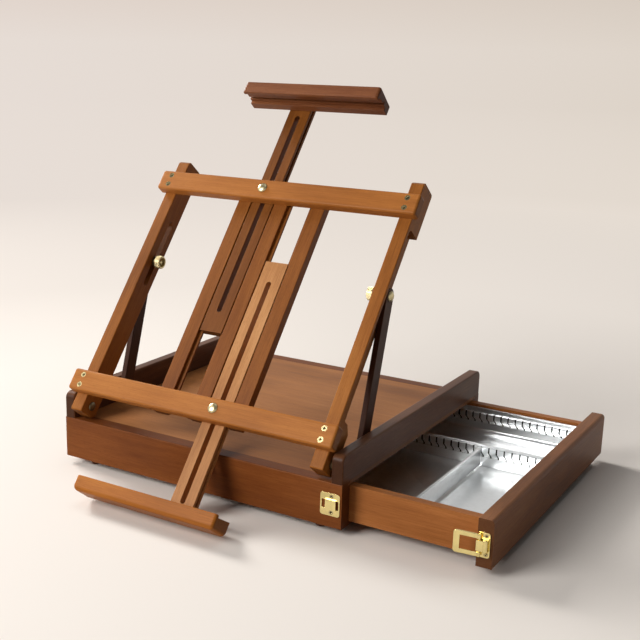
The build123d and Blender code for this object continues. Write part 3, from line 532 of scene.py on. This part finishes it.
# Crossbars: two flat bars of paler stained beech across the fronts of the posts, each held
# by four countersunk brass screws with crossed recesses.
bar_stain = (stain(136, 80, 33), stain(164, 101, 44), stain(184, 119, 57))
for shift, name in ((11, "top_crossbar"), (12, "bottom_crossbar")):
    dress(stained_wood(name + "_beech", *bar_stain, turn=-lean, shift=shift), name)
wood_screw = {"head_radius": 0.0037, "head_depth": 0.0022, "shank_radius": 0.0019}
drive_screws("crossbar_screws", out_of_frame, length=0.0258, **wood_screw)

# Guide rails: three strips screwed from behind to both crossbars. Their tongues run in the
# grooves of the masts.
guide_stain = (stain(98, 52, 16), stain(124, 70, 24), stain(146, 88, 34))
for shift, name in ((13, "left_guide_rail"), (14, "centre_guide_rail"), (15, "right_guide_rail")):
    eased(name, 0.0003, stained_wood(name + "_beech", *guide_stain, shift=shift, **frame_wood))
drive_screws("guide_rail_screws", -out_of_frame, length=0.0178, **wood_screw)

# Upper mast and canvas clamp: a slotted bar between the left and centre guides, and a moulded
# bar screwed across its top whose lip holds the canvas down.
mast_stain = (stain(92, 50, 16), stain(116, 66, 22), stain(138, 84, 32))
upper_beech = stained_wood("upper_mast_beech", *mast_stain, shift=16, **frame_wood)
eased("upper_mast", 0.0003, upper_beech)
clamp_stain = (stain(86, 46, 26), stain(116, 68, 40), stain(142, 90, 56))
clamp_beech = stained_wood("canvas_clamp_beech", *clamp_stain, turn=-lean, shift=17)
eased("canvas_clamp", 0.0006, clamp_beech)
drive_screws("canvas_clamp_screws", -out_of_frame, length=0.0238, **wood_screw)

# Lower mast and canvas ledge: the same bar in paler beech, cut level at its foot, and the
# ledge that the canvas stands on, with a low lip along its front.
pale_stain = (stain(144, 94, 54), stain(176, 122, 74), stain(200, 148, 98))
lower_beech = stained_wood("lower_mast_beech", *pale_stain, shift=18, **frame_wood)
eased("lower_mast", 0.0003, lower_beech)
ledge_stain = (stain(131, 74, 22), stain(162, 96, 34), stain(186, 118, 48))
ledge_beech = stained_wood("canvas_ledge_beech", *ledge_stain, turn=-lean, shift=19)
eased("canvas_ledge", 0.0006, ledge_beech)
dress(ledge_beech, "canvas_ledge_dowels")

# Clamp bolts and thumb nuts: a domed carriage bolt through each crossbar and the slot of the
# mast behind it, with a washer and a knurled brass nut that is tightened by hand.
dress(brass, "clamp_washers")
domed_bolts("clamp_bolts", out_of_frame, shaded_brass, dome=0.0027, shank_radius=0.0030)


def knurl_tree():
    """Fine upright ridges round the rim of a turned nut."""
    names = {
        "Radius": "Float", "Height": "Float", "Level": "Float", "Ridges": "Int",
        "Ridge Radius": "Float", "Material": "Material",
    }
    tree, given = geometry_tree("knurled_rim", names)
    circle = {"Vertices": given["Ridges"], "Radius": given["Radius"]}
    points = add_node(tree, "GeometryNodeMeshCircle", circle).outputs[0]
    raised = lifted(tree, points, given["Level"])
    shape = {"Vertices": 6, "Radius": given["Ridge Radius"], "Depth": given["Height"]}
    ridge = add_node(tree, "GeometryNodeMeshCylinder", shape).outputs["Mesh"]
    placed = {"Points": raised, "Instance": ridge}
    instances = add_node(tree, "GeometryNodeInstanceOnPoints", placed).outputs[0]
    end_tree(tree, instances, given["Material"], given["Geometry"])
    return tree


knurled = knurl_tree()
stud_radius = 0.0022
hollow_radius = 0.0061
hollow_depth = 0.0052
rim_radius = 0.0084
rim_height = 0.0080
neck_radius = 0.0062
nut_height = 0.011
nut_outline = [
    (0.0, 0.0014), (0.0018, 0.0014), (stud_radius, 0.0018), (stud_radius, hollow_depth),
    (0.0056, hollow_depth), (0.0060, 0.0048), (hollow_radius, 0.0010), (0.0064, 0.0002),
    (0.0068, 0.0), (0.0079, 0.0), (rim_radius, 0.0005), (rim_radius, 0.0074),
    (0.0079, rim_height), (neck_radius, rim_height), (neck_radius, 0.0106),
    (0.0058, nut_height), (0.0, nut_height),
]
shade_levels = (0.0016, 0.0056)


def thumb_nut(node, towards):
    """Knurled nut in the place of a CAD node: its neck to the wood, painted shade in its hollow."""
    low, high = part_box(node)
    piece = link_mesh("knurled_" + node, turned(node, nut_outline))
    rim = {
        "Radius": 0.00845, "Height": 0.0068, "Level": 0.0040, "Ridges": 44, "Ridge Radius": 0.00034,
        "Material": shaded_brass,
    }
    grow(piece, knurled, rim)
    # Faces inside the hollow take the dark recess metal: painted shade.
    piece.data.materials.append(painted_recess_shade)
    for face in piece.data.polygons:
        within = shade_levels[0] < face.center.z < shade_levels[1]
        if within and face.center.xy.length < hollow_radius:
            face.material_index = 1
    smooth_under(piece.data, 34)
    set_upright(piece.data, towards, (low + high) / 2 - towards * nut_height / 2)
    stand_in(piece, node)


thumb_nut("top_clamp_nut", out_of_frame)
thumb_nut("bottom_clamp_nut", out_of_frame)

# Struts: flat bars with round ends that prop the posts. Each turns on a screw in the side
# rail, and its brass bolt slides in the slot of the post until the thumb nut is tightened.
strut_lean = radians(73.33)
# The struts' stain is darkened past their own colour to paint the shade on their sides.
shaded_strut_stain = (stain(44, 22, 14), stain(62, 34, 20), stain(82, 50, 30))
strut_wood = {"grain": 1, "turn": -strut_lean}
strut_bolt = {"dome": 0.0035, "shank_radius": 0.0020}
for shift, side in ((20, "right"), (21, "left")):
    strut = stained_wood(side + "_strut_beech", *shaded_strut_stain, shift=shift, **strut_wood)
    dress(strut, side + "_strut")
    dress(dark_bronze, side + "_strut_washer")
    domed_bolts(side + "_strut_bolt", -inwards, shaded_brass, **strut_bolt, mirrored=True)
thumb_nut("right_thumb_nut", Vector((1, 0, 0)))
thumb_nut("left_thumb_nut", Vector((-1, 0, 0)))

# Drawer: beech sides and end round a thin bottom, and a thick front that laps over the whole
# end of the box, rounded along the top of its outer face.
drawer_stain = (stain(134, 80, 38), stain(163, 101, 53), stain(187, 123, 69))
side_ease = 0.0006
eased("drawer_near_side", side_ease, stained_wood("near_side_beech", *drawer_stain, shift=22))
eased("drawer_far_side", side_ease, stained_wood("far_side_beech", *drawer_stain, shift=23))
drawer_end_beech = stained_wood("drawer_end_beech", *drawer_stain, grain=1, shift=24)
eased("drawer_end", side_ease, drawer_end_beech)
dress(stained_wood("drawer_bottom_beech", *drawer_stain, shift=25, lacquer=0.6), "drawer_bottom")
face_stain = (stain(97, 58, 34), stain(128, 81, 48), stain(152, 103, 66))
face_beech = stained_wood("drawer_front_beech", *face_stain, grain=1, shift=26)
eased("drawer_front", 0.0009, face_beech)

# Tray: folded from one sheet of bright tinplate, with a hemmed rim, a rounded fold round its
# floor and a band of slit tabs along the far wall that a divider can drop into.
tinplate = polished_metal("tinplate_sheet", (0.93, 0.95, 0.96, 1), 0.28, 0.02, 0.15)
# Near-black metal for the strips behind the slits: painted shade.
gap_shade = polished_metal("painted_gap_shade", (0.02, 0.02, 0.02, 1), 0.6, 0.02)
sheet = 0.0008
hem_width = 0.0026
hem_height = 0.0020
floor_fold = 0.0045
corner_radius = 0.0022


def outline_ring(shell, low, high, inset, level, steps=4):
    """Closed loop of vertices: a rectangle with round corners, set in from two corners."""
    middle = ((low.x + high.x) / 2, (low.y + high.y) / 2)
    reach = (
        (high.x - low.x) / 2 - inset - corner_radius,
        (high.y - low.y) / 2 - inset - corner_radius,
    )
    ring = []
    for quarter, (side_x, side_y) in enumerate(((1, 1), (-1, 1), (-1, -1), (1, -1))):
        for step in range(steps + 1):
            angle = (quarter + step / steps) * pi / 2
            x = middle[0] + side_x * reach[0] + corner_radius * cos(angle)
            y = middle[1] + side_y * reach[1] + corner_radius * sin(angle)
            ring.append(shell.verts.new((x, y, level)))
    return ring


def folded_tray(low, high):
    """Tray as a closed shell: outside wall, hemmed rim, inside wall and folded floor."""
    top = high.z
    shell = bmesh.new()
    outline = [(floor_fold, low.z)]
    for step in (1, 2, 3):
        angle = step / 3 * pi / 2
        outline.append((floor_fold * (1 - sin(angle)), low.z + floor_fold * (1 - cos(angle))))
    outline += [
        (0.0, top - 0.0008), (0.0004, top - 0.0002), (0.0010, top), (hem_width - 0.0008, top),
        (hem_width - 0.0002, top - 0.0003), (hem_width, top - 0.0010),
        (hem_width - 0.0004, top - hem_height), (sheet, top - hem_height - 0.0004),
    ]
    inner = floor_fold - sheet
    for step in (0, 1, 2, 3, 4):
        angle = step / 4 * pi / 2
        outline.append((sheet + inner * (1 - cos(angle)), low.z + sheet + inner * (1 - sin(angle))))
    rings = [outline_ring(shell, low, high, inset, level) for inset, level in outline]
    for lower, upper in zip(rings, rings[1:]):
        for i, vertex in enumerate(lower):
            after = (i + 1) % len(lower)
            shell.faces.new((vertex, lower[after], upper[after], upper[i]))
    shell.faces.new(list(reversed(rings[0])))
    shell.faces.new(rings[-1])
    bmesh.ops.recalc_face_normals(shell, faces=shell.faces)
    mesh = take_mesh(shell, "folded_tray")
    smooth_under(mesh, 40)
    return mesh


def tab_tree():
    """Row of like tabs along X."""
    names = {"Tabs": "Int", "Pitch": "Float", "Material": "Material"}
    tree, given = geometry_tree("tab_row", names)
    step = add_node(tree, "ShaderNodeCombineXYZ", {"X": given["Pitch"]})
    line = {"Count": given["Tabs"], "Offset": step.outputs[0]}
    points = add_node(tree, "GeometryNodeMeshLine", line, mode="OFFSET").outputs[0]
    placed = {"Points": points, "Instance": given["Geometry"]}
    instances = add_node(tree, "GeometryNodeInstanceOnPoints", placed).outputs[0]
    end_tree(tree, instances, given["Material"])
    return tree


tab_rows = tab_tree()
tab_pitch = 0.0105
tab_slit = 0.0021
tab_slant = 0.0031
edge_round = 0.0006
straight_drop = 0.0073
slanted_drop = 0.0112
full_drop = 0.0135
tab_sheet = 0.0005


def tab_band(name, span, wall_y, top, stand_off, through):
    """Band of hooked tabs: each drops from a folded edge, slants sideways and bends to the wall."""
    start, end = span
    count = int((end - start - tab_slant) / tab_pitch)
    first = through + tab_slit / 2 - tab_pitch * int((through - start) / tab_pitch)
    outline = [
        (0.0, wall_y, top),
        (0.0, wall_y - stand_off + edge_round, top),
        (0.0, wall_y - stand_off, top - edge_round),
        (0.0, wall_y - stand_off, top - straight_drop),
        (tab_slant, wall_y - 0.7 * stand_off, top - slanted_drop),
        (tab_slant, wall_y - 0.4 * stand_off, top - full_drop),
    ]
    sides = (first, first + tab_pitch - tab_slit)
    ends = [[(x + slant, y, z) for slant, y, z in outline] for x in sides]
    faces = [(i, i + 1, i + 1 + len(outline), i + len(outline)) for i in range(len(outline) - 1)]
    mesh = bpy.data.meshes.new(name)
    mesh.from_pydata(ends[0] + ends[1], [], faces)
    piece = link_mesh(name, mesh)
    thickness = piece.modifiers.new("sheet", "SOLIDIFY")
    thickness.thickness = tab_sheet
    thickness.offset = 0.0
    grow(piece, tab_rows, {"Tabs": count, "Pitch": tab_pitch, "Material": tinplate})
    smooth_under(piece.data, 40)
    return piece


def rib(name, x, y, z):
    """Thin strip of sheet with rounded edges."""
    shell = bmesh.new()
    bmesh.ops.create_cube(shell, size=1.0)
    size = (x[1] - x[0], y[1] - y[0], z[1] - z[0])
    bmesh.ops.scale(shell, vec=size, verts=shell.verts)
    bmesh.ops.translate(shell, vec=(sum(x) / 2, sum(y) / 2, sum(z) / 2), verts=shell.verts)
    rounding = {"offset": min(size) * 0.42, "offset_type": "OFFSET", "segments": 3, "profile": 0.5}
    bmesh.ops.bevel(shell, geom=shell.edges, affect="EDGES", **rounding)
    mesh = take_mesh(shell, name)
    smooth_under(mesh, 40)
    return link_mesh(name, mesh)


def shade_behind_slits(name, span, wall_y, top):
    """Dark strip of painted shade in the slits of a band of tabs, where the wall behind it is cut
    out.
    """
    strip = rib(name, span, (wall_y - 0.0006, wall_y - 0.0001), (top - 0.0140, top - 0.0004))
    strip.data.materials.append(gap_shade)
    return strip


def ride_as_sheet(strips, body):
    """Let strips of sheet metal ride on a body."""
    for strip in strips:
        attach(strip, body)


tray_low, tray_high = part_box("metal_tray")
cross_low, cross_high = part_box("cross_divider")
slit_x = (cross_low.x + cross_high.x) / 2
tray = link_mesh("folded_tray", folded_tray(tray_low, tray_high))
stand_in(tray, "metal_tray", tinplate)
left_margin, right_margin = 0.006, 0.004
wall_span = (tray_low.x + left_margin, tray_high.x - right_margin)
wall_face = tray_high.y - sheet
wall_tab_top = tray_high.z - 0.0080
wall_tabs = tab_band("wall_tabs", wall_span, wall_face, wall_tab_top, 0.0032, slit_x)
wall_gap = shade_behind_slits("wall_slit_shade", wall_span, wall_face, wall_tab_top)
ride_as_sheet((wall_tabs, wall_gap), "drawer")

# Dividers: a fixed one along the tray, folded over at the top and slit like the wall, and a
# loose one across the near compartment, hemmed at the top and bottom.
long_low, long_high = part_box("long_divider")
long_y = (long_low.y + long_high.y) / 2
long_x = (long_low.x, long_high.x)
long_face = long_y - sheet / 2
wall = rib("long_divider_wall", long_x, (long_face, long_y + sheet / 2), (long_low.z, long_high.z))
fold_y, fold_z = (long_y - 0.0019, long_y + 0.0013), (long_high.z - 0.0014, long_high.z)
fold = rib("long_divider_fold", long_x, fold_y, fold_z)
foot_y, foot_z = (long_face, long_y + 0.0080), (long_low.z, long_low.z + sheet)
flange = rib("long_divider_foot", long_x, foot_y, foot_z)
long_span = (long_x[0] + left_margin, long_x[1] - right_margin)
long_tab_top = long_high.z - 0.0030
divider_tabs = tab_band("divider_tabs", long_span, long_face, long_tab_top, 0.0018, slit_x)
divider_gap = shade_behind_slits("divider_slit_shade", long_span, long_face, long_tab_top)
stand_in(wall, "long_divider", tinplate)


def plate(strips):
    """Give strips of sheet metal the finish of the tray alone."""
    for strip in strips:
        strip.data.materials.clear()
        strip.data.materials.append(tinplate)


plate((fold, flange, divider_tabs))
ride_as_sheet((fold, flange, divider_tabs, divider_gap), "drawer")

cross_x = slit_x
cross_y = (cross_low.y, cross_high.y - 0.0012)
cross_sheet = (cross_x - sheet / 2, cross_x + sheet / 2)
cross_wall = rib("cross_divider_wall", cross_sheet, cross_y, (cross_low.z, cross_high.z))
stand_in(cross_wall, "cross_divider", tinplate)
hem_x, hem_z = (cross_x - 0.0022, cross_x + 0.0022), (cross_high.z - 0.0024, cross_high.z)
hem = rib("cross_divider_hem", hem_x, cross_y, hem_z)
lip_x, lip_z = (cross_x - 0.0013, cross_x + 0.0004), (cross_low.z, cross_low.z + 0.0030)
lip = rib("cross_divider_lip", lip_x, cross_y, lip_z)
plate((hem, lip))
ride_as_sheet((hem, lip), "cross_divider")

# Latch: a stamped brass base plate with two ears, screwed to the end of the drawer front, a
# lever that turns on a pin between the ears, and a bail that the lever draws tight.
eased("latch_base", 0.0003, brass, 3)
drive_screws("latch_screws", out_of_front, **latch_screw)
dress(brass, "latch_lever_pin", "latch_bail_pin")
eased("latch_lever", 0.0007, brass, 3)
eased("latch_bail", 0.0005, brass, 3)

# Ground: a plain pale sheet that fades into the same pale backdrop, so that only the shadows
# of the easel show on it. The light that it throws back on the easel is a little darker.


def backdrop_tone(tree, direction, tones):
    """Pale colour that changes a little from the left to the right of a direction."""
    sideways = add_node(tree, "ShaderNodeSeparateXYZ", {0: direction}).outputs["X"]
    share = add_math(tree, "ADD", sideways, 1.0)
    left, right = tones
    return add_ramp(tree, share, [(0.22, left), (0.85, right)])


def sight(tree):
    """Whether a ray comes straight from the eye, and whether it is a reflection."""
    rays = add_node(tree, "ShaderNodeLightPath").outputs
    direct = add_math(tree, "MAXIMUM", rays["Is Camera Ray"], rays["Is Transmission Ray"])
    return direct, rays["Is Glossy Ray"]


def blended(tree, share, first, second):
    """Shader that goes from the first to the second as the share goes from 0 to 1."""
    shaders = {0: share, 1: first.outputs[0], 2: second.outputs[0]}
    return add_node(tree, "ShaderNodeMixShader", shaders)


# These tones paint light and shade on the backdrop and far floor: darker to the right and farther
# off, the near floor lighter to the right.
horizon_tones = (stain(231, 221, 214), stain(221, 211, 200))
near_tones = (stain(233, 223, 214), stain(241, 232, 223))
floor_tone = stain(235, 228, 221)
bounced_tone = stain(205, 196, 186)
floor_reach = 40.0
fade_distance = 10.0


def ground():
    """Large pale floor that turns to the colour of the backdrop away from the object."""
    mesh = bpy.data.meshes.new("ground")
    ways = ((-1, -1), (1, -1), (1, 1), (-1, 1))
    corners = [(x * floor_reach, y * floor_reach, 0) for x, y in ways]
    mesh.from_pydata(corners, [], [(0, 1, 2, 3)])
    floor = link_mesh("ground", mesh)
    material, tree, surface = new_material("pale_ground")
    surface.inputs["Roughness"].default_value = 0.9
    surface.inputs["Specular IOR Level"].default_value = 0.1
    place = add_node(tree, "ShaderNodeTexCoord").outputs["Object"]
    distance = add_node(tree, "ShaderNodeVectorMath", {0: place}, operation="LENGTH")
    direction = add_node(tree, "ShaderNodeVectorMath", {0: place}, operation="NORMALIZE").outputs[0]
    spread = add_math(tree, "DIVIDE", distance.outputs["Value"], fade_distance)
    fade = add_ramp(tree, spread, [(0.08, grey(0)), (0.3, grey(0.7)), (1.0, grey(1))])
    near = backdrop_tone(tree, direction, near_tones)
    far = backdrop_tone(tree, direction, horizon_tones)
    glow = add_node(tree, "ShaderNodeEmission", {"Color": mixed(tree, fade, near, far)})
    direct, glossy = sight(tree)
    seen = add_math(tree, "MAXIMUM", direct, glossy)
    edge = add_ramp(tree, spread, [(0.055, grey(0)), (0.11, grey(0.6)), (0.26, grey(1))])
    blend = add_math(tree, "MULTIPLY", seen, edge)
    tone = mixed(tree, seen, bounced_tone, floor_tone)
    tree.links.new(tone, surface.inputs["Base Color"])
    finish = blended(tree, blend, surface, glow)
    tree.links.new(finish.outputs[0], tree.nodes["Material Output"].inputs["Surface"])
    floor.data.materials.append(material)


ground()

# Studio light: a big soft lamp high on the left, a wider one low in front and a faint one
# overhead, with a dim even surround.
lit_point = Vector((0.05, 0.0, 0.15))


def soft_lamp(name, place, size, power, colour):
    """Square area lamp that looks at the easel."""
    lamp = bpy.data.lights.new(name, "AREA")
    lamp.size = size
    lamp.energy = power
    lamp.color = colour
    holder = bpy.data.objects.new(name, lamp)
    holder.location = place
    holder.rotation_mode = "QUATERNION"
    holder.rotation_quaternion = (lit_point - Vector(place)).to_track_quat("-Z", "Y")
    bpy.context.scene.collection.objects.link(holder)


soft_lamp("left_lamp", (-3.3, 0.6, 2.35), size=1.3, power=140, colour=(1.0, 0.985, 0.96))
soft_lamp("front_lamp", (-1.3, -2.5, 1.7), size=1.6, power=88, colour=(1.0, 0.985, 0.965))
soft_lamp("top_lamp", (0.1, 0.2, 2.6), size=1.6, power=9, colour=(1.0, 0.99, 0.98))
surround_tint = (1.0, 0.97, 0.95, 1)
surround_strength = 0.09
# Higher up the backdrop is darker still: painted shade.
high_tones = (stain(225, 211, 202), stain(213, 202, 190))


def surround():
    """Dim surround that shows as the backdrop to the eye, and in metal as a pale band."""
    world = bpy.data.worlds.new("surround")
    bpy.context.scene.world = world
    world.use_nodes = True
    tree = world.node_tree
    plain = tree.nodes["Background"]
    plain.inputs["Color"].default_value = surround_tint
    plain.inputs["Strength"].default_value = surround_strength
    direction = add_node(tree, "ShaderNodeTexCoord").outputs["Generated"]
    height = add_node(tree, "ShaderNodeSeparateXYZ", {0: direction}).outputs["Z"]
    level = backdrop_tone(tree, direction, horizon_tones)
    high = backdrop_tone(tree, direction, high_tones)
    rise = add_ramp(tree, height, [(0.0, grey(0)), (0.05, grey(1))])
    backdrop = add_node(tree, "ShaderNodeBackground", {"Color": mixed(tree, rise, level, high)})
    pale, middling, dusk = (0.85, 0.83, 0.80, 1), (0.42, 0.41, 0.40, 1), grey(0.10)
    band = add_ramp(tree, height, [(0.32, pale), (0.50, middling), (0.70, dusk)])
    mirrored = add_node(tree, "ShaderNodeBackground", {"Color": band})
    direct, glossy = sight(tree)
    lit = blended(tree, direct, plain, backdrop)
    shown = blended(tree, glossy, lit, mirrored)
    tree.links.new(shown.outputs[0], tree.nodes["World Output"].inputs["Surface"])


surround()

# Camera: low and to the right of the front, a little rolled, and shifted so that the easel
# sits in the frame as it was photographed.
camera_place = (0.7446, -1.2314, 0.5488)
camera_turn = radians(31.62)
camera_rise = radians(14.99)
camera_roll = radians(1.09)
level_share = cos(camera_rise)
back = Vector((sin(camera_turn) * level_share, -cos(camera_turn) * level_share, sin(camera_rise)))
level_right = Vector((cos(camera_turn), sin(camera_turn), 0))
level_up = back.cross(level_right)
right = cos(camera_roll) * level_right + sin(camera_roll) * level_up
up = cos(camera_roll) * level_up - sin(camera_roll) * level_right
camera = bpy.data.objects.new("camera", bpy.data.cameras.new("camera"))
camera.data.lens = 60.92
camera.data.sensor_width = 36.0
camera.data.shift_x = 0.0713
camera.data.shift_y = 0.0243
turn_to_view = Matrix((right, up, back)).transposed().to_4x4()
camera.matrix_world = Matrix.Translation(camera_place) @ turn_to_view
bpy.context.scene.collection.objects.link(camera)
bpy.context.scene.camera = camera
bpy.context.scene.view_settings.view_transform = "Standard"
